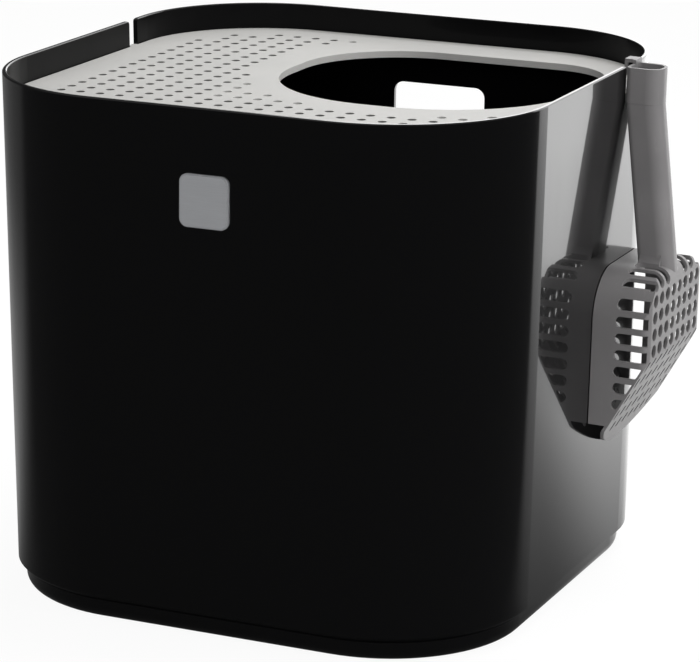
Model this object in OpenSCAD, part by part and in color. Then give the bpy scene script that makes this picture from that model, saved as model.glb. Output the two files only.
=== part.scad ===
// Top entry litter box: a glossy tub, a swivelling perforated lid with an entry
// hole, a scoop that hooks over the rim and a removable coated-fabric liner.
// Millimetres. +Z up, origin at the middle of the tub's base, front towards -Y.

/* [Housing] */
// Outside width at the rim
body_w = 406.4; // [360:1:460]
// Outside depth at the rim
body_d = 406.4; // [360:1:460]
// Height of the rim above the floor
body_h = 381; // [340:1:440]
// Thickness of the walls and of the bottom
wall = 3.5; // [2.5:0.1:5]
// Corner radius at the front, at the rim
corner_r_front = 114; // [90:1:130]
// Corner radius at the back, at the rim
corner_r_back = 104; // [90:1:130]
// How far each wall leans in from the rim down to the plinth
wall_draft = 5.9; // [2:0.1:9]
// Height of the recessed plinth
plinth_h = 14; // [8:1:20]
// How far the plinth stands in from the wall above it
plinth_in = 6; // [3:0.5:9]
// Height of the sloping band between plinth and wall
under_h = 5.5; // [4:0.5:12]
// Radius of the plinth's lower edge
foot_r = 8; // [5:0.5:10]
// Bevel of the rim's edges
rim_c = 0.8; // [0.4:0.1:1.2]

/* [Hand hole] */
// Width of the hand hole in the back wall
hand_w = 76; // [60:1:110]
// Height of the hand hole
hand_h = 33; // [26:1:45]
// Corner radius of the hand hole
hand_r = 8; // [4:0.5:12]
// From the rim down to the top of the hand hole
hand_drop = 54; // [45:1:70]
// Middle of the hand hole, to the right of the housing's middle
hand_x = 4.5; // [-20:0.5:20]

/* [Lid] */
// From the rim down to the lid's top face
lid_drop = 19.6; // [14:0.2:26]
// Thickness of the lid's plate
lid_t = 2.6; // [2:0.1:4]
// Gap between the lid and the wall all round
lid_gap = 0.9; // [0.7:0.1:2]
// Depth of the flange round the lid's edge
flange_h = 8; // [6:0.5:12]
// Thickness of the flange, the lip and the ribs
rib_t = 2.2; // [1.6:0.1:3]
// Depth of the stiffening ribs under the plate
rib_h = 6; // [4:0.5:10]

/* [Entry hole] */
// Width of the entry hole
entry_w = 225; // [190:1:235]
// Depth of the entry hole, front to back
entry_d = 207; // [180:1:215]
// Middle of the entry hole, to the right of the lid's middle
entry_x = 59.5; // [50:0.5:64]
// Middle of the entry hole, behind the lid's middle
entry_y = 50.5; // [44:0.5:58]
// Radius of the hole's two front corners
entry_r_front = 103; // [60:1:103]
// Radius of the hole's back left corner
entry_r_left = 80; // [40:1:90]
// Radius of the hole's back right corner
entry_r_right = 52; // [40:1:90]
// How deep the lip round the entry hole turns down, plate included
lip_h = 5; // [4:0.5:10]

/* [Sieve holes] */
// Diameter of the lid's small round holes
sieve_d = 6.5; // [4:0.5:8]
// Distance between hole centres, both ways
sieve_pitch = 15.7; // [12:0.1:20]
// Least distance from a hole's centre to the lid's edge
sieve_margin = 26.5; // [20:0.5:40]
// Plain border between the entry hole and the hole centres, left and front
plain_border = 23.5; // [18:0.5:32]

/* [Hinge] */
// Distance of the hinge axis behind the middle
hinge_y = 76; // [60:1:90]
// Radius of the lid's ears
ear_r = 6; // [5:0.25:7]
// Height of the ears' flat top above the hinge axis
ear_flat = 3.2; // [2:0.1:4]
// Room between an ear and its slot all round
ear_fit = 0.4; // [0.3:0.05:1]
// How far the ears stop short of the outer face of the wall
ear_back = 0.5; // [0.2:0.1:2]
// Radius of the slots' edges at the rim
mouth_r = 3; // [1:0.5:5]

/* [Lid rest] */
// How far the ledge under the lid's front stands out from the wall
ledge_w = 7; // [5:0.5:12]
// Thickness of the ledge
ledge_t = 3; // [2:0.5:5]
// Gap between pieces that rest on each other
seat = 0.3; // [0.3:0.05:0.5]

/* [Badge] */
// Width and height of the badge plate
badge_w = 37; // [28:1:50]
// Corner radius of the badge plate
badge_r = 6; // [3:0.5:9]
// Thickness of the badge plate
badge_t = 3.2; // [2.4:0.1:5]
// Thickness of the adhesive pad behind the badge plate
pad_t = 0.8; // [0.5:0.1:1.5]
// Depth of the badge's pocket in the front wall
pocket_t = 1.6; // [1:0.1:2]
// Gap round the badge in its pocket
badge_gap = 0.6; // [0.4:0.1:1.5]
// From the rim down to the middle of the badge
badge_drop = 64; // [50:1:90]
// Length of the two studs behind the badge plate
stud_l = 5; // [3:0.5:8]
// Diameter of the studs
stud_d = 4; // [3:0.5:6]
// Distance between the studs
stud_pitch = 20; // [14:1:26]

/* [Scoop head] */
// Width of the scoop's head
head_w = 117; // [104:1:130]
// Depth of the head, out from the wall
head_d = 43; // [36:1:52]
// From the rim down to the top of the head
head_drop = 143; // [130:1:155]
// Length of the head from its top to the blade's edge
head_h = 137; // [130:1:145]
// From the head's top down to the lower end of its sides
side_h = 112; // [108:1:116]
// From the head's top down to where the sloping plate starts
plate_h = 61.5; // [59:0.5:66]
// Radius of the blade's curved edge
blade_r = 94; // [75:1:150]
// Thickness of the scoop's walls
scoop_t = 2.4; // [1.8:0.1:3]
// Radius of the head's upper corners, seen from the side
head_r = 34; // [24:1:38]
// Radius of the edge between the head's top and its outer plate
top_r = 10; // [6:0.5:14]
// Radius along the head's other outer edges
edge_r = 6.5; // [5:0.5:9]
// From the head's top down to the first row of holes
row_drop = 17.7; // [16:0.1:20]
// Diameter of the holes in the outer plate
riddle_d = 9.4; // [7:0.2:10]
// Distance between holes along the outer plate
riddle_pitch_y = 13; // [12:0.1:13.5]
// Distance between rows of holes and slots
riddle_pitch_z = 12.4; // [12:0.1:14]
// Number of holes in a row
riddle_n = 8; // [4:1:8]
// Height of the slots in the head's sides
side_slot_h = 8.2; // [5:0.2:9]
// From a row of holes down to the middle of the side slots next to it
side_slot_drop = 2.8; // [0:0.2:4]
// Plain strip of the sides next to the wall
side_plain = 17; // [12:0.5:20]
// How far the side slots stop short of the outer plate's face
side_web = 1.6; // [1:0.1:4]
// Web between the first row of holes and the slots above it
corner_web = 2.2; // [1:0.1:4]
// Number of rows of slots in the sloping plate
slope_rows = 5; // [3:1:5]
// Width of the slots in the sloping plate
slope_slot_w = 4.4; // [2.5:0.1:5]
// Length of the slots in the sloping plate
slope_slot_l = 9.5; // [7:0.5:11]
// From the bend down the sloping plate to the middle of its first slots
slope_first = 4.6; // [4.6:0.1:6]
// Distance between rows of slots along the sloping plate
slope_pitch = 14.8; // [13:0.1:15]

/* [Scoop handle] */
// Depth of the handle, out from the wall
grip_d = 26.5; // [24:0.5:32]
// Width of the handle
grip_w = 25; // [22:0.5:29]
// Length of the handle's upper part that lies along the wall
grip_flat = 26; // [16:1:40]
// How far the handle stands off the wall where it meets the head
grip_lean = 15; // [6:0.5:16]
// Radius of the handle's two corners towards the wall
grip_r_in = 5; // [4:0.5:8]
// Radius of the handle's two outer corners
grip_r_out = 11; // [8:0.5:12]
// Radius of the fillets between handle and head
fillet_r = 8; // [4:0.5:12]
// Gap between the scoop and the wall
scoop_gap = 0.4; // [0.3:0.05:1]
// Length of the hook's inner leg
hook_l = 9; // [6:0.5:11]
// Width of the hook
hook_w = 11; // [6:0.5:13]
// Thickness of the hook
hook_t = 2.6; // [2:0.1:4]
// Distance of the hook behind the edge of the hinge slot
hook_off = 0.4; // [0.3:0.1:2]

/* [Liner] */
// Gap between the liner and the housing
liner_gap = 1.2; // [0.6:0.1:4]
// Thickness of the coated fabric
liner_t = 2; // [1.5:0.1:3]
// Height of the liner's top edge above the floor
liner_top = 230; // [200:1:235]
// Height of the stiff band inside the liner's top edge
band_h = 28; // [18:1:40]
// Thickness of the band
band_t = 1.6; // [1.2:0.1:3]
// Gap between the liner, its band and its handles
sewn_gap = 0.2; // [0.1:0.05:0.4]
// Span of a liner handle
strap_span = 130; // [100:1:160]
// Drop of a liner handle below the band's lower edge
strap_drop = 45; // [30:1:70]
// Width of a handle's webbing
strap_w = 25; // [18:1:32]
// Thickness of a handle's webbing
strap_t = 1.8; // [1.2:0.1:3]

/* [Hidden] */
$fn = 96;
over = 1;                                   // how far a cut runs past a face
half_w = body_w / 2;
half_d = body_d / 2;
wall_z = plinth_h + under_h;                // where the leaning wall starts
draft_rate = wall_draft / (body_h - wall_z);
draft_deg = atan(draft_rate);
under_in = plinth_in + wall_draft;          // inset of the plinth from the rim
inner_r = foot_r - wall;                    // the same lower edge inside the wall

// Inset of the outer wall face from the rim outline at a height
function lean(z) = (body_h - z) * draft_rate;

lid_z = body_h - lid_drop;                  // the lid's top face
hinge_z = lid_z - ear_flat;
flange_z = lid_z - flange_h;                // the lid's lowest edge
slot_r = ear_r + ear_fit;
lid_in = wall + lid_gap;                    // lid outline, inside the outer wall face
lid_x = half_w - lean(flange_z) - lid_in;   // half width of the lid
lid_y = half_d - lean(flange_z) - lid_in;   // half depth of the lid
lid_r_front = corner_r_front - lean(flange_z) - lid_in;
lid_r_back = corner_r_back - lean(flange_z) - lid_in;
ledge_z = flange_z - seat;                  // top of the ledge
entry_l = entry_x - entry_w / 2;
entry_r = entry_x + entry_w / 2;
entry_f = entry_y - entry_d / 2;
entry_b = entry_y + entry_d / 2;

// ---------- outlines ----------

// Rounded rectangle from one corner to the other with a radius for each corner,
// in the order front left, front right, back right, back left
module outline(x0, y0, x1, y1, radii) {
    c = [[x0 + radii[0], y0 + radii[0]], [x1 - radii[1], y0 + radii[1]],
         [x1 - radii[2], y1 - radii[2]], [x0 + radii[3], y1 - radii[3]]];
    polygon([[c[0][0], y0], [c[1][0], y0], c[1], [x1, c[1][1]], [x1, c[2][1]], c[2],
        [c[2][0], y1], [c[3][0], y1], c[3], [x0, c[3][1]], [x0, c[0][1]], c[0]]);
    polygon([c[0], c[1], c[2], c[3]]);
    for (i = [0 : 3]) translate(c[i]) circle(radii[i]);
}

module round_rect(w, h, r) {
    outline(-w / 2, -h / 2, w / 2, h / 2, [r, r, r, r]);
}

// Convex outline through corners given anticlockwise, each with its own radius,
// shrunk by a margin
function unit(v) = v / norm(v);
module rounded(p, radii, m) {
    n = len(p);
    k = [for (i = [0 : n - 1])
        let (u = unit(p[(i + n - 1) % n] - p[i]),
             v = unit(p[(i + 1) % n] - p[i]),
             h = acos(u * v) / 2,
             r = max(radii[i] - m, 0.4),
             q = p[i] + unit(u + v) * m / sin(h))
        [q + u * r / tan(h), q + v * r / tan(h), q + unit(u + v) * r / sin(h), r]];
    polygon([for (i = [0 : n - 1], t = [0, 1]) k[i][t]]);
    for (c = k) translate(c[2]) circle(c[3]);
}

// Straight-sided slot with round ends, along X
module slot_2d(l, w) {
    square([l - w, w], center = true);
    for (s = [-1, 1]) translate([s * (l - w) / 2, 0]) circle(w / 2);
}

// One half of the tub's upright section, out to a distance on the rim outline. The
// outline goes through points [inset from the rim, height] upwards; its lower edge can
// be rounded, and it can reach a little behind its axis
module half_section(reach, p, foot, behind) {
    polygon(concat([[-behind, p[0][1]]], [for (q = p) [reach - q[0], q[1]]],
        [[-behind, p[len(p) - 1][1]]]));
    if (foot > 0) translate([reach - p[0][0], p[0][1] + foot]) circle(foot);
}

// Solid with the housing's outline: its four turned corners and the straight
// stretches between them
module tub_shape(p, foot = 0) {
    cf = [half_w - corner_r_front, half_d - corner_r_front];
    cb = [half_w - corner_r_back, half_d - corner_r_back];
    for (s = [-1, 1]) {
        translate([s * cf[0], -cf[1], 0]) rotate_extrude() half_section(corner_r_front, p, foot, 0);
        translate([s * cb[0], cb[1], 0]) rotate_extrude() half_section(corner_r_back, p, foot, 0);
    }
    translate([0, cb[1], 0]) rotate([90, 0, 0]) linear_extrude(cf[1] + cb[1])
        for (s = [0, 1]) mirror([s, 0]) half_section(half_w, p, foot, over);
    translate([-cf[0], 0, 0]) rotate([90, 0, 90]) linear_extrude(2 * cf[0])
        mirror([1, 0]) half_section(half_d, p, foot, over);
    translate([-cb[0], 0, 0]) rotate([90, 0, 90]) linear_extrude(2 * cb[0])
        half_section(half_d, p, foot, over);
}

// Points of an outline that starts with a rounded lower edge
function footed(z, inside, foot) = [[inside + foot, z], [inside, z + foot]];

// The same between two heights, at a fixed distance inside the wall's outer face
module wall_block(z0, z1, inside) {
    tub_shape([[lean(z0) + inside, z0], [lean(z1) + inside, z1]]);
}

// Puts a flat outline, seen from the front, on the leaning front wall
module on_front_wall(drop) {
    translate([0, -half_d + lean(body_h - drop), body_h - drop])
        rotate([90 - draft_deg, 0, 0]) children();
}

// Frame of the right wall's outer face at the rim: X out of the wall, Z up along it
module on_right_wall() {
    translate([half_w, 0, body_h]) rotate([0, draft_deg, 0]) children();
}

// ---------- housing ----------

module hinge_slot(s) {
    translate([s * (half_w - wall / 2), hinge_y, hinge_z]) rotate([0, 90, 0])
        cylinder(h = 2 * wall_draft + 4 * wall, r = slot_r, center = true);
    translate([s * half_w - 2 * wall - wall_draft, hinge_y - slot_r, hinge_z])
        cube([2 * (2 * wall + wall_draft), 2 * slot_r, body_h - hinge_z + over]);
    // Rounded edges at the rim
    for (t = [0, 1]) translate([s * half_w - 2 * wall, hinge_y, body_h]) mirror([0, t, 0])
        rotate([90, 0, 90]) linear_extrude(4 * wall)
            polygon(concat([[0, -mouth_r], [0, over], [slot_r + mouth_r, over]],
                [for (a = [90 : -15 : 0]) [slot_r + mouth_r * (1 - cos(a)), -mouth_r * (1 - sin(a))]]));
}

module lid_ledge() {
    intersection() {
        difference() {
            wall_block(ledge_z - ledge_t, ledge_z, wall - over);
            wall_block(ledge_z - ledge_t - over, ledge_z + over, wall + ledge_w);
        }
        translate([-half_w, -half_d, ledge_z - ledge_t - over])
            cube([body_w, half_d + entry_f, ledge_t + 2 * over]);
    }
}

module housing() color([0.03, 0.03, 0.035]) {
    difference() {
        tub_shape(concat(footed(0, under_in, foot_r), [[under_in, plinth_h], [wall_draft, wall_z],
            [lean(body_h - rim_c), body_h - rim_c], [rim_c, body_h]]), foot_r);
        tub_shape(concat(footed(wall, under_in + wall, inner_r), [[under_in + wall, plinth_h],
            [wall_draft + wall, wall_z], [lean(body_h - rim_c) + wall, body_h - rim_c],
            [wall - rim_c, body_h], [wall - rim_c, body_h + over]]), inner_r);
        for (s = [-1, 1]) hinge_slot(s);
        translate([hand_x, half_d + over, body_h - hand_drop - hand_h / 2]) rotate([90, 0, 0])
            linear_extrude(2 * (wall + wall_draft)) round_rect(hand_w, hand_h, hand_r);
        on_front_wall(badge_drop) {
            translate([0, 0, -pocket_t]) linear_extrude(pocket_t + over)
                round_rect(badge_w + 2 * badge_gap, badge_w + 2 * badge_gap, badge_r + badge_gap);
            for (s = [-1, 1]) translate([s * stud_pitch / 2, 0, -2 * wall])
                cylinder(h = 3 * wall, d = stud_d + seat);
        }
    }
    lid_ledge();
}

// ---------- badge ----------

module badge_plate() color([0.5, 0.52, 0.54]) on_front_wall(badge_drop)
    translate([0, 0, pad_t + seat - pocket_t]) {
        bevel = badge_t / 4;
        linear_extrude(badge_t - bevel) round_rect(badge_w, badge_w, badge_r);
        linear_extrude(badge_t)
            round_rect(badge_w - 2 * bevel, badge_w - 2 * bevel, badge_r - bevel);
        for (s = [-1, 1]) translate([s * stud_pitch / 2, 0, -stud_l])
            cylinder(h = stud_l + bevel, d = stud_d);
    }

module badge_pad() color([0.15, 0.15, 0.15]) on_front_wall(badge_drop)
    translate([0, 0, seat / 2 - pocket_t]) difference() {
        linear_extrude(pad_t) round_rect(badge_w - 4, badge_w - 4, badge_r - 2);
        for (s = [-1, 1]) translate([s * stud_pitch / 2, 0, -over])
            cylinder(h = pad_t + 2 * over, d = stud_d + 2 * seat);
    }

// ---------- lid ----------

module lid_outline(inside) {
    outline(-lid_x + inside, -lid_y + inside, lid_x - inside, lid_y - inside,
        [lid_r_front - inside, lid_r_front - inside, lid_r_back - inside, lid_r_back - inside]);
}

module entry_outline(out) {
    outline(entry_l - out, entry_f - out, entry_r + out, entry_b + out,
        [entry_r_front + out, entry_r_front + out, entry_r_right + out, entry_r_left + out]);
}

// Distance of a point inside the lid's outline from its edge, one quarter at a time
function edge_room(p) =
    let (r = p[1] < 0 ? lid_r_front : lid_r_back,
         c = [lid_x - r, lid_y - r],
         q = [abs(p[0]), abs(p[1])])
    q[0] > c[0] && q[1] > c[1] ? r - norm(q - c) : min(lid_x - q[0], lid_y - q[1]);

// The plain field round the entry hole, which keeps the sieve holes off its lip. It
// is drawn concentric with the hole's front corners and runs on to the right edge.
plain_l = entry_l - plain_border;
plain_f = entry_f - plain_border;
plain_b = entry_b + plain_border;
plain_r_front = entry_r_front + plain_border;
plain_r_back = 60;
function in_plain_field(p) =
    p[0] < plain_l || p[1] < plain_f || p[1] > plain_b ? false :
    let (r = p[1] < entry_y ? plain_r_front : plain_r_back,
         c = [plain_l + r, p[1] < entry_y ? plain_f + r : plain_b - r],
         right = [entry_r + plain_border - r, c[1]],
         beyond = p[1] < entry_y ? p[1] < c[1] : p[1] > c[1])
    !beyond ? true :
    p[0] < c[0] ? norm(p - c) < r :
    p[0] > right[0] && p[1] < entry_y ? norm(p - right) < r : true;

sieve_n = floor(max(lid_x, lid_y) / sieve_pitch) + 1;
sieve_places = [for (i = [-sieve_n : sieve_n - 1], j = [-sieve_n : sieve_n - 1])
    let (p = [(i + 0.5) * sieve_pitch, (j + 0.5) * sieve_pitch])
    if (edge_room(p) >= sieve_margin && !in_plain_field(p)) p];

// An ear: round underneath, flat on top, flush with the lid's top face
module ear(s) {
    reach = half_w - lean(hinge_z) - ear_back;
    start = lid_x - 2 * rib_t;
    translate([s * (start + reach) / 2, hinge_y, hinge_z]) intersection() {
        rotate([0, 90, 0]) cylinder(h = reach - start, r = ear_r, center = true);
        translate([-half_w, -2 * ear_r, -2 * ear_r])
            cube([body_w, 4 * ear_r, 2 * ear_r + ear_flat]);
    }
}

module lid() color([0.83, 0.83, 0.81]) difference() {
    union() {
        translate([0, 0, lid_z - lid_t]) linear_extrude(lid_t) difference() {
            lid_outline(0);
            entry_outline(0);
        }
        translate([0, 0, flange_z]) linear_extrude(flange_h) difference() {
            lid_outline(0);
            lid_outline(rib_t);
        }
        translate([0, 0, lid_z - lip_h]) linear_extrude(lip_h) difference() {
            entry_outline(rib_t);
            entry_outline(0);
        }
        // Two ribs under the plain strips left of and in front of the entry hole
        for (x = [-lid_x + sieve_margin / 2, entry_l - plain_border / 2])
            translate([x - rib_t / 2, -lid_y / 2, lid_z - rib_h])
                cube([rib_t, lid_y, rib_h - lid_t / 2]);
        translate([-lid_x / 2, entry_f - plain_border / 2 - rib_t / 2, lid_z - rib_h])
            cube([lid_x, rib_t, rib_h - lid_t / 2]);
        for (s = [-1, 1]) ear(s);
    }
    for (p = sieve_places) translate([p[0], p[1], lid_z - lid_t - over])
        cylinder(h = lid_t + 2 * over, d = sieve_d, $fn = 24);
}

// ---------- scoop ----------

// In the frame of on_right_wall: X out of the wall, z = 0 at the rim, down is negative
scoop_y = 78;                               // middle of the scoop, front to back
head_top = -head_drop;
low_z = head_top - side_h;                  // lower end of the head's sides
tip_z = head_top - head_h;
slope_z = head_top - plate_h;               // where the sloping plate starts
blunt = scoop_t * 0.7;                      // thickness of the blade's edge
slope_rate = (head_d - blunt) / (slope_z - tip_z);
slope_deg = atan(slope_rate);
row_z = head_top - row_drop;                // first row of holes
rows = floor((row_z - riddle_d / 2 - slope_z) / riddle_pitch_z) + 1;
columns = [for (j = [0 : riddle_n - 1]) (j - (riddle_n - 1) / 2) * riddle_pitch_y];

// Head seen along Y, shrunk by a margin
module head_side(m) {
    rounded([[-20, tip_z - (20 + blunt) / slope_rate], [head_d, slope_z],
        [head_d, head_top], [-20, head_top]], [1, edge_r, top_r, 1], m);
}

// Head seen along X, shrunk by a margin, open below
module head_front(m) {
    w = head_w / 2;
    rounded([[-w, tip_z - 20], [w, tip_z - 20], [w, head_top], [-w, head_top]],
        [1, 1, head_r, head_r], m);
}

// Head seen from above, shrunk by a margin
module head_plan(m) {
    w = head_w / 2;
    rounded([[-20, -w], [head_d, -w], [head_d, w], [-20, w]], [1, edge_r, edge_r, 1], m);
}

module head_solid(m) intersection() {
    translate([0, head_w, 0]) rotate([90, 0, 0]) linear_extrude(2 * head_w) head_side(m);
    translate([-20, 0, 0]) rotate([90, 0, 90]) linear_extrude(head_d + 40) head_front(m);
    translate([0, 0, tip_z - 20]) linear_extrude(head_h + 40) head_plan(m);
}

// The curved edge of the blade, seen along X, bounds the head from below
module blade_edge() {
    translate([0, 0, tip_z + blade_r]) rotate([0, 90, 0]) cylinder(h = 2 * head_d, r = blade_r);
}

// Below the sides only the sloping plate goes on
module below_sides() intersection() {
    translate([0, head_w, 0]) rotate([90, 0, 0]) linear_extrude(2 * head_w) head_side(scoop_t);
    translate([-over, -head_w, tip_z - over]) cube([head_d, 2 * head_w, low_z - tip_z + over]);
}

// How far the head reaches out from the wall at a height
function head_reach(z) = z > slope_z ? head_d : head_d - (slope_z - z) * slope_rate;

// Slots of one side, seen along Y: round towards the wall, cut off by the outer and
// the sloping plate
module side_slots() {
    first = row_z - side_slot_drop;
    top_reach = side_plain + side_slot_h / 2 + side_web;
    intersection() {
        head_side(side_web);
        for (i = [0 : floor((first - low_z) / riddle_pitch_z)]) {
            z = first - i * riddle_pitch_z;
            if (head_reach(z + side_slot_h / 2) > top_reach)
                translate([side_plain + side_slot_h / 2, z]) {
                    circle(side_slot_h / 2);
                    translate([0, -side_slot_h / 2]) square([head_d, side_slot_h]);
                }
        }
    }
}

// A slot over the head's upper edge: from the top down into the outer plate
module corner_slot(y) {
    end_z = row_z + riddle_d / 2 + corner_web;
    translate([side_plain + riddle_d / 2, y, end_z + riddle_d / 8])
        linear_extrude(head_top - end_z + fillet_r) {
            circle(riddle_d / 2);
            translate([0, -riddle_d / 2])
                square([head_d - scoop_t - side_plain - riddle_d / 2, riddle_d]);
        }
    translate([head_d - 2 * scoop_t, y, end_z + top_r + riddle_d / 2]) rotate([0, 90, 0])
        linear_extrude(4 * scoop_t) slot_2d(2 * top_r + riddle_d, riddle_d);
}

module riddle_cuts() {
    // Round holes in the outer plate
    for (i = [0 : rows - 1], y = columns)
        translate([head_d - 2 * scoop_t, y, row_z - i * riddle_pitch_z])
            rotate([0, 90, 0]) cylinder(h = 4 * scoop_t, d = riddle_d, $fn = 24);
    for (s = [-1, 1]) translate([0, s * head_w / 2 + edge_r + 1, 0]) rotate([90, 0, 0])
        linear_extrude(2 * edge_r + 2) side_slots();
    // The columns that pass the handle go on over the head's upper edge
    for (y = columns) if (abs(y) - riddle_d / 2 > grip_w / 2) corner_slot(y);
    // Narrow slots down the sloping plate, between the columns of holes and beside them,
    // clear of the blade's edge
    for (i = [0 : slope_rows - 1], j = [0 : riddle_n]) {
        y = (j - riddle_n / 2) * riddle_pitch_y;
        d = slope_first + i * slope_pitch;
        end = slope_z - (d + slope_slot_l / 2) * cos(slope_deg);
        edge = tip_z + blade_r - sqrt(blade_r * blade_r - y * y);
        if (end > edge + scoop_t)
            translate([head_d, y, slope_z]) rotate([0, slope_deg, 0])
                translate([-3 * scoop_t, 0, -d]) rotate([0, 90, 0])
                    linear_extrude(6 * scoop_t) slot_2d(slope_slot_l, slope_slot_w);
    }
}

// The handle's section, shrunk by a margin: flatter towards the wall
module grip_section(m) {
    outline(m, -grip_w / 2 + m, grip_d - m, grip_w / 2 - m,
        [grip_r_in - m, grip_r_out - m, grip_r_out - m, grip_r_in - m]);
}

grip_deg = atan(grip_lean / (head_drop - grip_flat));

// The handle, shrunk by a margin: along the wall at the top, then leaning off it; the
// lower part is a touch slimmer, so that its end stays inside the upper one
module grip_solid(m, top, low) {
    translate([0, 0, -grip_flat]) linear_extrude(grip_flat + top) grip_section(m);
    length = -low - grip_flat;
    translate([0, 0, -grip_flat]) rotate([0, -grip_deg, 0]) translate([0, 0, -length])
        linear_extrude(length) grip_section(m + 0.3);
}

// Hollow fillets where the handle's two flanks run into the head
module grip_fillets() {
    x0 = grip_lean + grip_r_in / 2;
    for (s = [0, 1]) mirror([0, s, 0])
        translate([x0, grip_w / 2 - 0.4, head_top - 0.4]) rotate([90, 0, 90])
            linear_extrude(grip_d - grip_r_in - grip_r_out / 2) difference() {
                square(fillet_r);
                translate([fillet_r, fillet_r]) circle(fillet_r);
            }
}

// Tongue over the rim with a leg down its inner side
module hook() {
    y = hinge_y + slot_r + hook_off - scoop_y;
    x = -wall - scoop_gap - seat - hook_t;
    translate([x, y, seat]) cube([scoop_t - x, hook_w, hook_t]);
    translate([x, y, -hook_l]) cube([hook_t, hook_w, hook_l + seat + hook_t]);
    translate([0, y - 2, -hook_l]) cube([scoop_t, hook_w + 2, hook_l + seat + hook_t]);
}

module scoop() color([0.47, 0.47, 0.48]) on_right_wall() translate([scoop_gap, scoop_y, 0]) {
    difference() {
        union() {
            intersection() {
                head_solid(0);
                blade_edge();
                translate([0, -head_w, tip_z]) cube([2 * head_d, 2 * head_w, head_h]);
            }
            grip_solid(0, 0, head_top - top_r);
            grip_fillets();
        }
        head_solid(scoop_t);
        below_sides();
        grip_solid(scoop_t, over, head_top + scoop_t);
        riddle_cuts();
    }
    hook();
}

// ---------- liner ----------

liner_in = wall + liner_gap;
liner_z = wall + seat;

// The liner's outline at a fixed distance inside the plinth's outer face, upright
module liner_shape(z0, z1, inside, foot) {
    in = under_in + inside;
    tub_shape(concat(foot > 0 ? footed(z0, in, foot) : [[in, z0]], [[in, z1]]), foot);
}

module liner_body() color([0.36, 0.38, 0.4]) difference() {
    liner_shape(liner_z, liner_top, liner_in, inner_r);
    liner_shape(liner_z + liner_t, liner_top + over, liner_in + liner_t, inner_r - liner_t);
}

module liner_band() color([0.2, 0.21, 0.22]) {
    inside = liner_in + liner_t + sewn_gap;
    difference() {
        liner_shape(liner_top - band_h, liner_top, inside, 0);
        liner_shape(liner_top - band_h - over, liner_top + over, inside + band_t, 0);
    }
}

// A webbing loop that hangs flat on the inside of the band
module liner_handle(s) {
    depth = liner_in + liner_t + band_t + 2 * sewn_gap;
    x = half_w - under_in - depth;
    top = liner_top - band_h / 4;
    low = liner_top - band_h - strap_drop;
    r = (top - low) / 2;
    translate([s * (x - strap_t / 2), 0, (top + low) / 2]) rotate([90, 0, 90])
        linear_extrude(strap_t, center = true) difference() {
            slot_2d(strap_span, top - low);
            slot_2d(strap_span - 2 * strap_w, top - low - 2 * strap_w);
        }
}

module liner_handle_left() color([0.12, 0.12, 0.13]) liner_handle(-1);

module liner_handle_right() color([0.12, 0.12, 0.13]) liner_handle(1);

housing();
lid();
badge_plate();
badge_pad();
scoop();
liner_body();
liner_band();
liner_handle_left();
liner_handle_right();
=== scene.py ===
import math

import bmesh
import bpy
from mathutils import Matrix, Vector


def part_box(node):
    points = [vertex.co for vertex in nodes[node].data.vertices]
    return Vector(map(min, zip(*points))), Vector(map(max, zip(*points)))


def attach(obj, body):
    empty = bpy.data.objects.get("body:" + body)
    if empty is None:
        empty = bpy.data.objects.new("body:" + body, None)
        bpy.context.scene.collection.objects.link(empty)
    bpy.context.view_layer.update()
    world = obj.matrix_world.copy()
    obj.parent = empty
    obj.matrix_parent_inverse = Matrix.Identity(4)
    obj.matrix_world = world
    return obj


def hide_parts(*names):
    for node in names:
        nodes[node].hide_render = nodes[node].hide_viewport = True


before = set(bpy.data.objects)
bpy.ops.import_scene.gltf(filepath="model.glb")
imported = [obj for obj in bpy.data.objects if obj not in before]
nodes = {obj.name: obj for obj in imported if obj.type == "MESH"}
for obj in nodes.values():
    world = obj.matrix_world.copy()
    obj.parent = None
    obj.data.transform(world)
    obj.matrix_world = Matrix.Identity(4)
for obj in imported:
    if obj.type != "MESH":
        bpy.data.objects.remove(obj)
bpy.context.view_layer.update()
scene = bpy.context.scene
scene.view_settings.view_transform = "Standard"

# Sizes of the tub, in metres, as the record's frame gives them at rest
HALF, _, BODY_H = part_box("housing")[1]      # half the rim's width, and the height
WALL = 0.0035
CORNER_FRONT = 0.114
CORNER_BACK = 0.104
DRAFT = 0.0059                              # the wall's lean, from rim to its lower end
WALL_Z = 0.0195                             # where the leaning wall ends
PLINTH_H = 0.014
PLINTH_INSET = 0.0119
LID_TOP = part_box("lid")[1][2]
PLATE_T = 0.0026                            # the lid's plate


# ---------------------------------------------------------------- shader kit

class Sig:
    """A value or colour socket that can be used in Python arithmetic."""

    def __init__(self, kit, socket):
        self.kit = kit
        self.socket = socket

    def _math(self, op, *others):
        return self.kit.add("ShaderNodeMath", {"operation": op},
                            dict(enumerate((self, *others))))

    def __add__(self, o): return self._math("ADD", o)
    def __radd__(self, o): return self._math("ADD", o)
    def __sub__(self, o): return self._math("SUBTRACT", o)
    def __rsub__(self, o): return self.kit.value_math("SUBTRACT", o, self)
    def __mul__(self, o): return self._math("MULTIPLY", o)
    def __rmul__(self, o): return self._math("MULTIPLY", o)
    def __truediv__(self, o): return self._math("DIVIDE", o)
    def __rtruediv__(self, o): return self.kit.value_math("DIVIDE", o, self)
    def __pow__(self, o): return self._math("POWER", o)
    def __gt__(self, o): return self._math("GREATER_THAN", o)
    def __lt__(self, o): return self._math("LESS_THAN", o)
    def abs(self): return self._math("ABSOLUTE")
    def sine(self): return self._math("SINE")
    def max(self, o): return self._math("MAXIMUM", o)
    def min(self, o): return self._math("MINIMUM", o)


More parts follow.
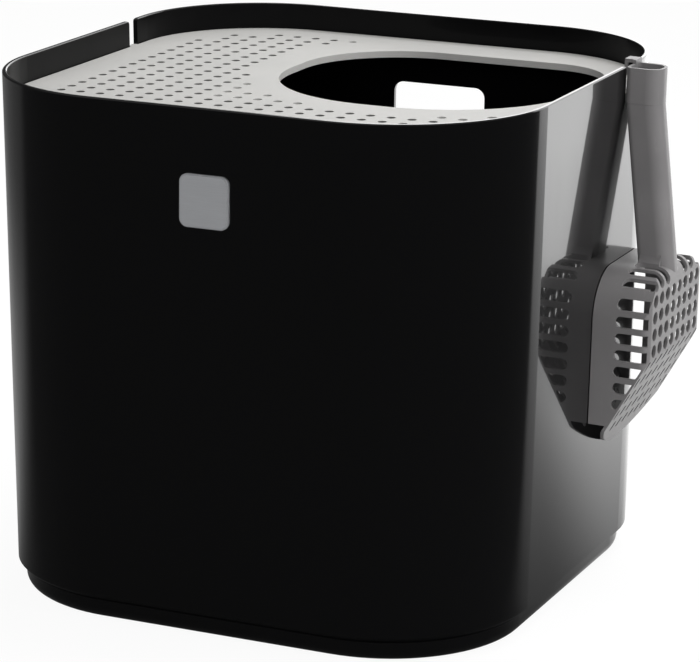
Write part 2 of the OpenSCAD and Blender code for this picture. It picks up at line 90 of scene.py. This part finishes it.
class Kit:
    """Builds one node tree; every node but arithmetic comes from add()."""

    def __init__(self, tree):
        self.tree = tree
        tree.nodes.clear()

    def add(self, kind, settings=None, inputs=None, out=0):
        n = self.tree.nodes.new(kind)
        for key, val in (settings or {}).items():
            setattr(n, key, val)
        for key, val in (inputs or {}).items():
            if isinstance(val, Sig):
                self.tree.links.new(val.socket, n.inputs[key])
            else:
                n.inputs[key].default_value = val
        return Sig(self, n.outputs[out]) if len(n.outputs) else None

    def value_math(self, op, a, b):
        return self.add("ShaderNodeMath", {"operation": op}, {0: a, 1: b})

    def place(self, scale=(1.0, 1.0, 1.0), turn=(0.0, 0.0, 0.0), move=(0.0, 0.0, 0.0)):
        here = self.add("ShaderNodeTexCoord", out="Object")
        return self.add("ShaderNodeMapping", None,
                        {"Vector": here, "Scale": scale, "Rotation": turn, "Location": move})

    def axes(self, vector):
        n = self.tree.nodes.new("ShaderNodeSeparateXYZ")
        self.tree.links.new(vector.socket, n.inputs[0])
        return [Sig(self, n.outputs[i]) for i in range(3)]

    def noise(self, where, scale, detail=2.0, rough=0.5):
        return self.add("ShaderNodeTexNoise", None,
                        {"Vector": where, "Scale": scale, "Detail": detail, "Roughness": rough})

    def fade(self, x, lo, hi, a=0.0, b=1.0):
        return self.add("ShaderNodeMapRange", {"interpolation_type": "SMOOTHSTEP"},
                        {"Value": x, "From Min": lo, "From Max": hi, "To Min": a, "To Max": b})

    def mix(self, amount, a, b):
        return self.add("ShaderNodeMix", {"data_type": "RGBA"},
                        {"Factor": amount, 6: a, 7: b}, out=2)

    def bump(self, height, strength, distance, under=None):
        ins = {"Height": height, "Strength": strength, "Distance": distance}
        if under is not None:
            ins["Normal"] = under
        return self.add("ShaderNodeBump", None, ins)

    def finish(self, inputs):
        body = self.add("ShaderNodeBsdfPrincipled", None, inputs)
        self.add("ShaderNodeOutputMaterial", None, {"Surface": body})


def finish_of(name):
    mat = bpy.data.materials.new(name)
    mat.use_nodes = True
    return mat, Kit(mat.node_tree)


def rgb(r, g, b):
    return (r, g, b, 1.0)


def dress(obj, mat):
    obj.data.materials.clear()
    obj.data.materials.append(mat)


# ---------------------------------------------------------------- finishes

SKIN_SHARE = 0.94                           # how much of the wall counts as its outside
WEAVE_RATE = 1400.0                         # radians per metre across the liner's threads
TAPE_RATE = 3600.0                          # the same for the webbing


def rounded_edges(k, radius):
    """Normal that turns over the last bit before a sharp edge."""
    return k.add("ShaderNodeBevel", {"samples": 6}, {"Radius": radius})


def outer_skin(k, x, y, z):
    """1 on the tub's outside, 0 on its inside, worked out from the tub's outline."""
    lean = (BODY_H - z) * (DRAFT / (BODY_H - WALL_Z))
    inset = lean + (z < PLINTH_H) * (PLINTH_INSET - DRAFT)
    radius = (y < 0.0) * (CORNER_FRONT - CORNER_BACK) + CORNER_BACK
    qx = x.abs() + radius - HALF
    qy = y.abs() + radius - HALF
    corner = (qx.max(0.0) * qx.max(0.0) + qy.max(0.0) * qy.max(0.0)) ** 0.5
    away = corner + qx.max(qy).min(0.0) - radius + inset
    return away > -SKIN_SHARE * WALL


def polished_black():
    """Polished outside, plainer inside."""
    mat, k = finish_of("polished_black")
    at = k.place()
    outside = outer_skin(k, *k.axes(at))
    dust = k.noise(at, 900.0, 3.0, 0.6)
    wipe = k.noise(k.place(scale=(1.0, 1.0, 0.25)), 26.0, 4.0, 0.55)
    flow = k.noise(k.place(scale=(1.0, 1.0, 0.3)), 9.0, 1.0, 0.4)
    specks = k.fade(dust, 0.68, 0.8)
    rough = k.fade(wipe, 0.35, 0.75, 0.16, 0.24) + (1.0 - outside) * 0.14
    k.finish({
        "Base Color": k.mix(specks * 0.3, rgb(0.0026, 0.0026, 0.0029), rgb(0.012, 0.012, 0.013)),
        "Roughness": rough + specks * 0.1,
        "Specular IOR Level": 0.1,
        "Coat Weight": outside * 0.95 + 0.05,
        "Coat Roughness": 0.025,
        "Coat IOR": 1.5,
        "Normal": k.bump(flow, 0.04, 0.002, k.bump(dust, 0.02, 0.0001, rounded_edges(k, 0.0006))),
    })
    return mat


def matt_light_grey():
    mat, k = finish_of("matt_light_grey")
    at = k.place()
    grain = k.noise(at, 2600.0, 2.0, 0.6)
    cloud = k.noise(at, 14.0, 3.0, 0.5)
    worn = k.noise(k.place(move=(3.0, 1.0, 0.0)), 60.0, 5.0, 0.6)
    tone = k.mix(k.fade(cloud, 0.3, 0.7), rgb(0.665, 0.66, 0.64), rgb(0.70, 0.692, 0.67))
    tone = k.mix(k.fade(worn, 0.6, 0.75) * 0.25, tone, rgb(0.58, 0.57, 0.55))
    # Painted shade darkens the walls of the small holes, which keep clear of the entry hole
    x, y, z = k.axes(at)
    in_plate = (z < LID_TOP - 0.00025) * (z > LID_TOP - PLATE_T + 0.0001)
    by_entry = (x > -0.07) * (y > -0.07) * (y < 0.17)
    at_edge = (x.abs() > 0.18).max(y.abs() > 0.18)
    hole_shade = in_plate * (1.0 - by_entry) * (1.0 - at_edge)
    k.finish({
        # The base colour turns dark grey on the small holes' walls: painted shade, not dust
        "Base Color": k.mix(hole_shade * 0.8, tone, rgb(0.10, 0.098, 0.095)),
        "Roughness": k.fade(grain, 0.3, 0.7, 0.42, 0.56),
        "Normal": k.bump(grain, 0.22, 0.00012, rounded_edges(k, 0.0006)),
    })
    return mat


def satin_mid_grey():
    mat, k = finish_of("satin_mid_grey")
    at = k.place()
    grain = k.noise(at, 2200.0, 2.0, 0.6)
    cloud = k.noise(at, 22.0, 3.0, 0.5)
    scuff = k.noise(k.place(scale=(1.0, 1.0, 0.2)), 160.0, 4.0, 0.65)
    tone = k.mix(k.fade(cloud, 0.3, 0.7), rgb(0.245, 0.237, 0.240), rgb(0.275, 0.266, 0.269))
    k.finish({
        "Base Color": k.mix(k.fade(scuff, 0.6, 0.72) * 0.3, tone, rgb(0.32, 0.31, 0.31)),
        "Roughness": k.fade(grain, 0.3, 0.7, 0.32, 0.44),
        "Normal": k.bump(grain, 0.16, 0.0001, rounded_edges(k, 0.0007)),
    })
    return mat


def brushed_badge():
    mat, k = finish_of("brushed_badge")
    lines = k.noise(k.place(scale=(1.0, 1.0, 60.0)), 60.0, 3.0, 0.6)
    k.finish({
        "Base Color": k.mix(k.fade(lines, 0.3, 0.7), rgb(0.50, 0.51, 0.53), rgb(0.55, 0.56, 0.58)),
        "Metallic": 0.2,
        "Roughness": k.fade(lines, 0.3, 0.7, 0.36, 0.5),
        "Normal": k.bump(lines, 0.1, 0.0001, rounded_edges(k, 0.0008)),
    })
    return mat


def foam():
    mat, k = finish_of("foam")
    cells = k.noise(k.place(), 1500.0, 2.0, 0.7)
    k.finish({
        "Base Color": k.mix(cells, rgb(0.03, 0.03, 0.03), rgb(0.07, 0.07, 0.07)),
        "Roughness": 0.9,
        "Normal": k.bump(cells, 0.5, 0.0003),
    })
    return mat


def coated_weave():
    mat, k = finish_of("coated_weave")
    x, y, z = k.axes(k.place())
    warp = ((x + y) * WEAVE_RATE).sine()
    weft = (z * WEAVE_RATE).sine()
    weave = warp * weft
    worn = k.noise(k.place(), 18.0, 4.0, 0.55)
    k.finish({
        "Base Color": k.mix(k.fade(worn, 0.35, 0.7),
                            rgb(0.10, 0.105, 0.115), rgb(0.135, 0.14, 0.15)),
        "Roughness": k.fade(worn, 0.3, 0.7, 0.42, 0.62),
        "Normal": k.bump(weave, 0.35, 0.0003),
    })
    return mat


def band_plastic():
    mat, k = finish_of("band_plastic")
    grain = k.noise(k.place(), 1800.0, 2.0, 0.6)
    k.finish({
        "Base Color": k.mix(grain, rgb(0.04, 0.04, 0.044), rgb(0.055, 0.055, 0.06)),
        "Roughness": k.fade(grain, 0.3, 0.7, 0.4, 0.52),
        "Normal": k.bump(grain, 0.2, 0.0001),
    })
    return mat


def webbing():
    mat, k = finish_of("webbing")
    x, y, z = k.axes(k.place())
    rib = ((y + z) * TAPE_RATE).sine()
    cross = ((y - z) * TAPE_RATE).sine()
    k.finish({
        "Base Color": k.mix(k.fade(rib * cross, -0.6, 0.8),
                            rgb(0.02, 0.02, 0.022), rgb(0.045, 0.045, 0.05)),
        "Roughness": 0.75,
        "Normal": k.bump(rib * cross, 0.6, 0.0003),
    })
    return mat


def sewing_thread():
    mat, k = finish_of("sewing_thread")
    twist = k.noise(k.place(), 2400.0, 2.0, 0.6)
    k.finish({
        "Base Color": k.mix(twist, rgb(0.30, 0.30, 0.31), rgb(0.42, 0.42, 0.43)),
        "Roughness": 0.7,
        "Normal": k.bump(twist, 0.4, 0.0001),
    })
    return mat


dress(nodes["housing"], polished_black())
dress(nodes["lid"], matt_light_grey())
dress(nodes["badge_plate"], brushed_badge())
dress(nodes["badge_pad"], foam())
dress(nodes["scoop"], satin_mid_grey())
dress(nodes["liner_band"], band_plastic())


# ---------------------------------------------------------------- liner

LINER_INSET = 0.0166                        # outer face, inside the rim's outline
LINER_LOW = 0.0038
LINER_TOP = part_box("liner_body")[1][2]
CLOTH_T = 0.0018
FOOT_R = 0.0045                             # rounding between its walls and floor
BAND_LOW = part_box("liner_band")[0][2]
FLOOR_TO = 0.25                             # share of the grid's rows that make the floor
ROUND_TO = 0.3125                           # and of those up to the rounding's end
FOLD_DEPTH = 0.0026
CREASE_DEPTH = 0.0007
SEAM_DEPTH = 0.0009
PUCKER_H = 0.0012
BINDING_INSET = 0.0185
BINDING_Z = 0.2279
STITCH_INSET = 0.0209
STITCH_Z = 0.2272
STITCHES = 208                              # on the binding, all the way round


def smooth(x, lo, hi):
    t = min(max((x - lo) / (hi - lo), 0.0), 1.0)
    return t * t * (3.0 - 2.0 * t)


def tub_path(inset):
    """Runs round the tub's outline: start, heading or centre, and length."""
    half = HALF - inset
    front, back = CORNER_FRONT - inset, CORNER_BACK - inset
    a, b = half - front, half - back
    quarter = math.pi / 2
    return [("line", (-a, -half), (1, 0), 2 * a),
            ("arc", (a, -a), (front, -quarter), front * quarter),
            ("line", (half, -a), (0, 1), a + b),
            ("arc", (b, b), (back, 0.0), back * quarter),
            ("line", (b, half), (-1, 0), 2 * b),
            ("arc", (-b, b), (back, quarter), back * quarter),
            ("line", (-half, b), (0, -1), a + b),
            ("arc", (-a, -a), (front, 2 * quarter), front * quarter)]


def tub_point(path, share):
    """Point and outward direction at a share of the way round."""
    left = (share % 1.0) * sum(run[3] for run in path)
    for kind, at, how, length in path:
        if left <= length:
            break
        left -= length
    if kind == "line":
        return (Vector((at[0] + how[0] * left, at[1] + how[1] * left, 0.0)),
                Vector((how[1], -how[0], 0.0)))
    radius, start = how
    turn = start + left / radius
    out = Vector((math.cos(turn), math.sin(turn), 0.0))
    return Vector((at[0], at[1], 0.0)) + out * radius, out


def corner_shares(path):
    """Shares of the way round at which the four corners have their middles."""
    total = sum(run[3] for run in path)
    done, shares = 0.0, []
    for kind, at, how, length in path:
        if kind == "arc":
            shares.append((done + length / 2) / total)
        done += length
    return shares


def wrapped(name, around, along, place, closed):
    """A grid of quads rolled into shape: place(u, v) says where each point goes."""
    bpy.ops.object.select_all(action="DESELECT")
    bpy.ops.mesh.primitive_grid_add(x_subdivisions=around, y_subdivisions=along, size=1.0)
    piece = bpy.context.object
    piece.name = piece.data.name = name
    for v in piece.data.vertices:
        v.co = place(v.co.x + 0.5, v.co.y + 0.5)
    bpy.ops.object.mode_set(mode="EDIT")
    bpy.ops.mesh.select_all(action="SELECT")
    bpy.ops.mesh.remove_doubles(threshold=0.00001)
    if closed:
        bpy.ops.mesh.normals_make_consistent(inside=False)
    bpy.ops.object.mode_set(mode="OBJECT")
    bpy.ops.object.shade_smooth()
    return piece


def liner_cloth():
    """The coated-fabric tub: slack walls, sewn corners and a lightly puckered floor."""
    path = tub_path(LINER_INSET)
    floor_path = tub_path(LINER_INSET + FOOT_R)
    corners = corner_shares(path)
    wall_low = LINER_LOW + FOOT_R
    wall_run = LINER_TOP - wall_low

    def seam(u):
        return sum(math.exp(-((u - c) * 1.3 / 0.003) ** 2) for c in corners)

    def slack(u, z):
        belt = (smooth(z, wall_low, wall_low + 0.05)
                * (1.0 - smooth(z, BAND_LOW - 0.05, BAND_LOW - 0.004)))
        rise = (z - wall_low) / wall_run
        sway = 6 * u + 0.25 * math.sin(4 * math.pi * u)
        fold = 0.5 + 0.5 * math.sin(2 * math.pi * sway + 5.0 * rise)
        crease = (math.sin(2 * math.pi * 17 * u - 9.0 * rise)
                  * math.sin(6.0 * rise + 8 * math.pi * u))
        return belt * (FOLD_DEPTH * fold ** 2 + CREASE_DEPTH * (1.0 + crease))

    def place(u, v):
        if v < FLOOR_TO:                    # floor, from its middle outwards
            spread = v / FLOOR_TO
            point, out = tub_point(floor_path, u)
            pucker = (1.0 - spread ** 6) * (0.5 + 0.5 * math.sin(9 * spread + 10 * math.pi * u)
                                           * math.sin(7 * spread - 6 * math.pi * u))
            rise = PUCKER_H * pucker * smooth(spread, 0.0, 0.15)
            return point * spread + Vector((0, 0, LINER_LOW + rise))
        if v < ROUND_TO:
            turn = (v - FLOOR_TO) / (ROUND_TO - FLOOR_TO) * math.pi / 2
            point, out = tub_point(floor_path, u)
            return (point + out * FOOT_R * math.sin(turn)
                    + Vector((0, 0, LINER_LOW + FOOT_R * (1.0 - math.cos(turn)))))
        z = wall_low + (v - ROUND_TO) / (1.0 - ROUND_TO) * wall_run
        point, out = tub_point(path, u)
        below_band = 1.0 - smooth(z, BAND_LOW - 0.01, BAND_LOW - 0.004)
        inward = slack(u, z) + SEAM_DEPTH * seam(u) * below_band
        return point - out * inward + Vector((0, 0, z))

    piece = wrapped("liner_cloth", 420, 64, place, False)
    thick = piece.modifiers.new("thickness", "SOLIDIFY")
    thick.thickness = CLOTH_T
    thick.offset = -1.0
    bpy.ops.object.modifier_apply(modifier=thick.name)
    return piece


def liner_binding():
    """Tape folded over the top edge of the cloth and the band."""
    path = tub_path(BINDING_INSET)

    def place(u, v):
        point, out = tub_point(path, u)
        turn = 2 * math.pi * v
        c, s = math.cos(turn), math.sin(turn)
        wide = 0.0024 * math.copysign(abs(c) ** 0.5, c)
        tall = 0.0035 * math.copysign(abs(s) ** 0.45, s)
        pull = 0.00025 * math.cos(2 * math.pi * STITCHES * u) * (c < 0)
        return point + out * (wide + pull) + Vector((0, 0, BINDING_Z + tall))

    return wrapped("liner_binding", 2 * STITCHES, 16, place, True)


STRAP_HALF = 0.0125                         # half the width of the webbing's solid
STRAP_LOW, STRAP_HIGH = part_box("liner_handle_right")
STRAP_X = (STRAP_LOW[0] + STRAP_HIGH[0]) / 2
STRAP_Z = (STRAP_LOW[2] + STRAP_HIGH[2]) / 2
STRAP_R = (STRAP_HIGH[2] - STRAP_LOW[2]) / 2 - STRAP_HALF
STRAP_RUN = STRAP_HIGH[1] - STRAP_LOW[1] - 2 * (STRAP_R + STRAP_HALF)


def strap_point(share):
    """Point and outward direction, seen along X, on the middle of a strap's loop."""
    total = 2 * STRAP_RUN + 2 * math.pi * STRAP_R
    left = (share % 1.0) * total
    half = STRAP_RUN / 2
    if left < STRAP_RUN:
        return (-half + left, -STRAP_R), (0.0, -1.0)
    left -= STRAP_RUN
    if left < math.pi * STRAP_R:
        turn = left / STRAP_R - math.pi / 2
        out = (math.cos(turn), math.sin(turn))
        return (half + STRAP_R * out[0], STRAP_R * out[1]), out
    left -= math.pi * STRAP_R
    if left < STRAP_RUN:
        return (half - left, STRAP_R), (0.0, 1.0)
    turn = (left - STRAP_RUN) / STRAP_R + math.pi / 2
    out = (math.cos(turn), math.sin(turn))
    return (-half + STRAP_R * out[0], STRAP_R * out[1]), out


def strap_lift(drop):
    """How far the strap's lower part falls away from the band."""
    return 0.004 * smooth(drop, -0.012, 0.033)


def liner_strap(name, side):
    def place(u, v):
        (y, z), out = strap_point(u)
        turn = 2 * math.pi * v
        c, s = math.cos(turn), math.sin(turn)
        wide = 0.0122 * math.copysign(abs(c) ** 0.3, c)
        thick = 0.0009 * math.copysign(abs(s) ** 0.6, s) * (1.0 - 0.25 * abs(c) ** 8)
        y, z = y + out[0] * wide, z + out[1] * wide
        ripple = 0.0005 * math.sin(12 * math.pi * u) * smooth(-z, -0.012, 0.02)
        return Vector((side * (STRAP_X + thick - strap_lift(-z) - ripple), y, STRAP_Z + z))

    return wrapped(name, 144, 24, place, True)


def stitches():
    """Thread on the binding and on the straps' sewn ends, each stitch a copy of one."""
    bpy.ops.object.select_all(action="DESELECT")
    bpy.ops.mesh.primitive_uv_sphere_add(segments=6, ring_count=5, radius=0.00042)
    one = bpy.context.object
    one.scale = (4.2, 1.0, 1.0)
    bpy.ops.object.transform_apply(scale=True)
    spots = []
    path = tub_path(STITCH_INSET)
    for i in range(STITCHES):
        point, out = tub_point(path, (i + 0.5) / STITCHES)
        spots.append((point + Vector((0, 0, STITCH_Z)), Vector((-out.y, out.x, 0.0))))
    for side in (-1, 1):
        face = side * (STRAP_X - 0.001)
        for mid in (-0.036, 0.036):
            for i in range(5):
                for z in (-0.009, 0.009):
                    spots.append((Vector((face, mid - 0.011 + 0.0055 * i, STRAP_Z + STRAP_R + z)),
                                  Vector((0, 1, 0))))
            for i in range(4):
                for y in (-STRAP_HALF, STRAP_HALF):
                    spots.append((Vector((face, mid + y, STRAP_Z + STRAP_R - 0.0068 + 0.0045 * i)),
                                  Vector((0, 0, 1))))
    mesh = bmesh.new()
    for at, along in spots:
        turn = along.to_track_quat("X", "Z").to_matrix().to_4x4()
        copy = one.data.copy()
        copy.transform(Matrix.Translation(at) @ turn)
        mesh.from_mesh(copy)
        bpy.data.meshes.remove(copy)
    mesh.to_mesh(one.data)
    mesh.free()
    one.name = one.data.name = "liner_stitches"
    bpy.ops.object.shade_smooth()
    return one


def soft_piece(piece, mat, slot, *replaced):
    dress(piece, mat)
    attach(piece, "liner")
    if replaced:
        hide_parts(*replaced)


tape = webbing()
soft_piece(liner_cloth(), coated_weave(), "coated_fabric", "liner_body")
soft_piece(liner_binding(), tape, "webbing")
soft_piece(liner_strap("liner_strap_left", -1), tape, "webbing", "liner_handle_left")
soft_piece(liner_strap("liner_strap_right", 1), tape, "webbing", "liner_handle_right")
soft_piece(stitches(), sewing_thread(), "webbing")


# ---------------------------------------------------------------- studio

# What gloss sees of the floor differs from what the camera sees. It is a wedge that
# opens out behind the object, with a brighter wedge inside it, and a weaker strip on
# the left. This sets the reflections in the walls and not the materials.
DIM = 0.05                                  # what gloss sees of the rest of the studio
AMBIENT = 0.21                              # the plain light from all round


def ray_kinds(k):
    """Camera rays, and rays that see the studio in gloss or through glass."""
    path = k.tree.nodes.new("ShaderNodeLightPath")
    seen = [Sig(k, path.outputs[kind])
            for kind in ("Is Camera Ray", "Is Glossy Ray", "Is Transmission Ray")]
    return seen[0], seen[1].max(seen[2])


def wedge(k, x, y, start, spread, soft):
    """1 where a point lies inside two lines that open out towards the back."""
    edge = y * spread + start
    return k.fade(edge - x.abs(), soft[0], soft[1]) * k.fade(y, -0.12, 0.0)


def floor_in_gloss(k, x, y):
    far = y.max(0.0).min(1.4)
    outer = wedge(k, x, y, 0.30, 0.66, (-0.03, 0.05)) * k.fade(x, -0.1, 0.1)
    inner = wedge(k, x, y, 0.215, 0.45, (0.0, 0.07))
    near_bright = (far * 2.3 + 0.2).min(far * 0.8 + 0.8)
    strip = (k.fade(y, -0.2, 0.06) * k.fade(x, -0.2, -0.12, 1.0, 0.0)
             * k.fade(x, -1.5, -0.5, 0.35, 1.0) * 0.26)
    edges = strip.max(outer * (far * 0.6 + 0.1))
    return edges * (1.0 - inner) + inner * near_bright + DIM


def studio_floor():
    bpy.ops.object.select_all(action="DESELECT")
    bpy.ops.mesh.primitive_plane_add(size=16.0, location=(0.0, 0.0, -0.0004))
    floor = bpy.context.object
    floor.name = "studio_floor"
    mat, k = finish_of("studio_floor")
    x, y, z = k.axes(k.place())
    camera, gloss = ray_kinds(k)
    matt = k.add("ShaderNodeBsdfDiffuse", None, {"Color": rgb(0.8, 0.8, 0.8)})
    faint = k.add("ShaderNodeBsdfDiffuse", None, {"Color": rgb(0.12, 0.12, 0.12)})
    glow = k.add("ShaderNodeEmission", None, {"Strength": 0.93})
    lit = k.add("ShaderNodeAddShader", None, {0: faint, 1: glow})
    mirror = k.add("ShaderNodeEmission", None, {"Strength": floor_in_gloss(k, x, y)})
    first = k.add("ShaderNodeMixShader", None, {0: camera, 1: matt, 2: lit})
    second = k.add("ShaderNodeMixShader", None, {0: gloss, 1: first, 2: mirror})
    k.add("ShaderNodeOutputMaterial", None, {"Surface": second})
    dress(floor, mat)


def studio_world():
    world = bpy.data.worlds.new("studio")
    scene.world = world
    world.use_nodes = True
    k = Kit(world.node_tree)
    x, y, z = k.axes(k.add("ShaderNodeTexCoord", out="Generated"))
    flat = (x * x + y * y).max(0.0001) ** 0.5
    inside = k.fade(y / flat * 0.45 - (x / flat).abs(), -0.04, 0.02)
    top = k.fade(z, 0.45, 0.95)
    seen_in_gloss = (inside * 2.0 + DIM) * (1.0 - top) + top * 0.4
    camera, gloss = ray_kinds(k)
    strength = camera + (1.0 - camera) * (gloss * seen_in_gloss + (1.0 - gloss) * AMBIENT)
    back = k.add("ShaderNodeBackground", None, {"Color": rgb(1.0, 1.0, 1.0), "Strength": strength})
    k.add("ShaderNodeOutputWorld", None, {"Surface": back})


def soft_box(name, at, aim, size, power):
    lamp = bpy.data.lights.new(name, "AREA")
    lamp.shape = "SQUARE"
    lamp.size = size
    lamp.energy = power
    obj = bpy.data.objects.new(name, lamp)
    scene.collection.objects.link(obj)
    obj.location = at
    obj.rotation_euler = (Vector(aim) - Vector(at)).to_track_quat("-Z", "Y").to_euler()
    obj.visible_glossy = False


def studio():
    studio_floor()
    studio_world()
    soft_box("box_top", (0.35, 0.8, 2.4), (0.0, 0.0, 0.2), 1.6, 33.0)
    soft_box("box_right", (2.2, 0.1, 1.0), (0.2, 0.0, 0.2), 1.2, 19.0)
    soft_box("box_front", (0.7, -2.5, 1.2), (0.0, 0.0, 0.2), 1.0, 15.0)


# The camera that was fitted to the rim, the height and the base in the photograph
LENS_MM = 172.07
CAMERA_AT = (0.9833, -2.1752, 0.8322)
CAMERA_RIGHT = (0.9130, 0.4079, 0.0099)
CAMERA_UP = (-0.1168, 0.2379, 0.9642)


def camera():
    cam = bpy.data.cameras.new("camera")
    cam.sensor_fit = "HORIZONTAL"
    cam.sensor_width = 36.0
    cam.lens = LENS_MM
    cam.clip_start = 0.05
    cam.clip_end = 60.0
    obj = bpy.data.objects.new("camera", cam)
    scene.collection.objects.link(obj)
    right = Vector(CAMERA_RIGHT).normalized()
    up = Vector(CAMERA_UP)
    back = right.cross(up).normalized()
    up = back.cross(right)
    turn = Matrix((right, up, back)).transposed().to_4x4()
    obj.matrix_world = Matrix.Translation(CAMERA_AT) @ turn
    scene.camera = obj


studio()
camera()
